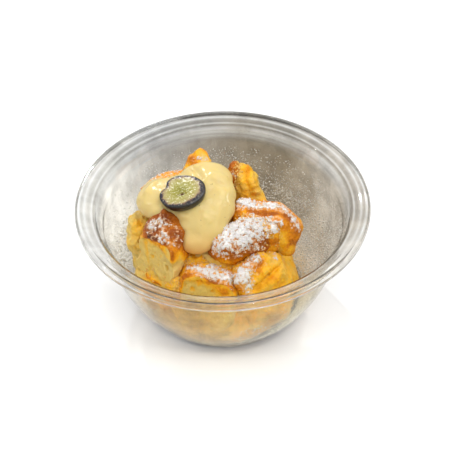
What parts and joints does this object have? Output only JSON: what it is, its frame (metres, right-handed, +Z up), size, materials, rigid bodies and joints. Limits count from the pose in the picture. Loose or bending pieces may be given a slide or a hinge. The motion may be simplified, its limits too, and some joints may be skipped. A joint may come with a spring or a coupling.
{
  "type": "bread pudding",
  "caption": "Bread pudding of torn bread with pastry cream, powdered sugar and half a blueberry in a clear stepped-rim dessert bowl.",
  "frame": {"origin": "centre of the bowl's foot, on the plane it stands on", "axes": "+Z up along the bowl's axis; -Y towards the cut faces of the front pieces; +X to the right of them"},
  "size_m": [0.101, 0.101, 0.0523],
  "materials": {
    "clear_plastic": "clear, glossy",
    "soaked_crumb": "moist, porous crumb",
    "baked_crust": "baked crust dusted with powdered sugar",
    "golden_bread": "soft, slightly glossy bread",
    "pastry_cream": "smooth, moist cream",
    "blueberry": "dark skin, moist pale cut face"
  },
  "bodies": {
    "root": {"bowl": "clear_plastic", "pudding_base": "soaked_crumb", "chunk_front_left": "baked_crust", "chunk_front_middle": "baked_crust", "chunk_centre": "baked_crust", "chunk_front_right": "golden_bread", "chunk_right": "baked_crust", "chunk_back_right": "golden_bread", "chunk_back_top": "baked_crust", "crust_tip": "baked_crust", "chunk_back_left": "baked_crust", "chunk_left": "soaked_crumb", "chunk_left_low": "soaked_crumb", "cream": "pastry_cream", "blueberry_half": "blueberry"}
  },
  "joints": []
}
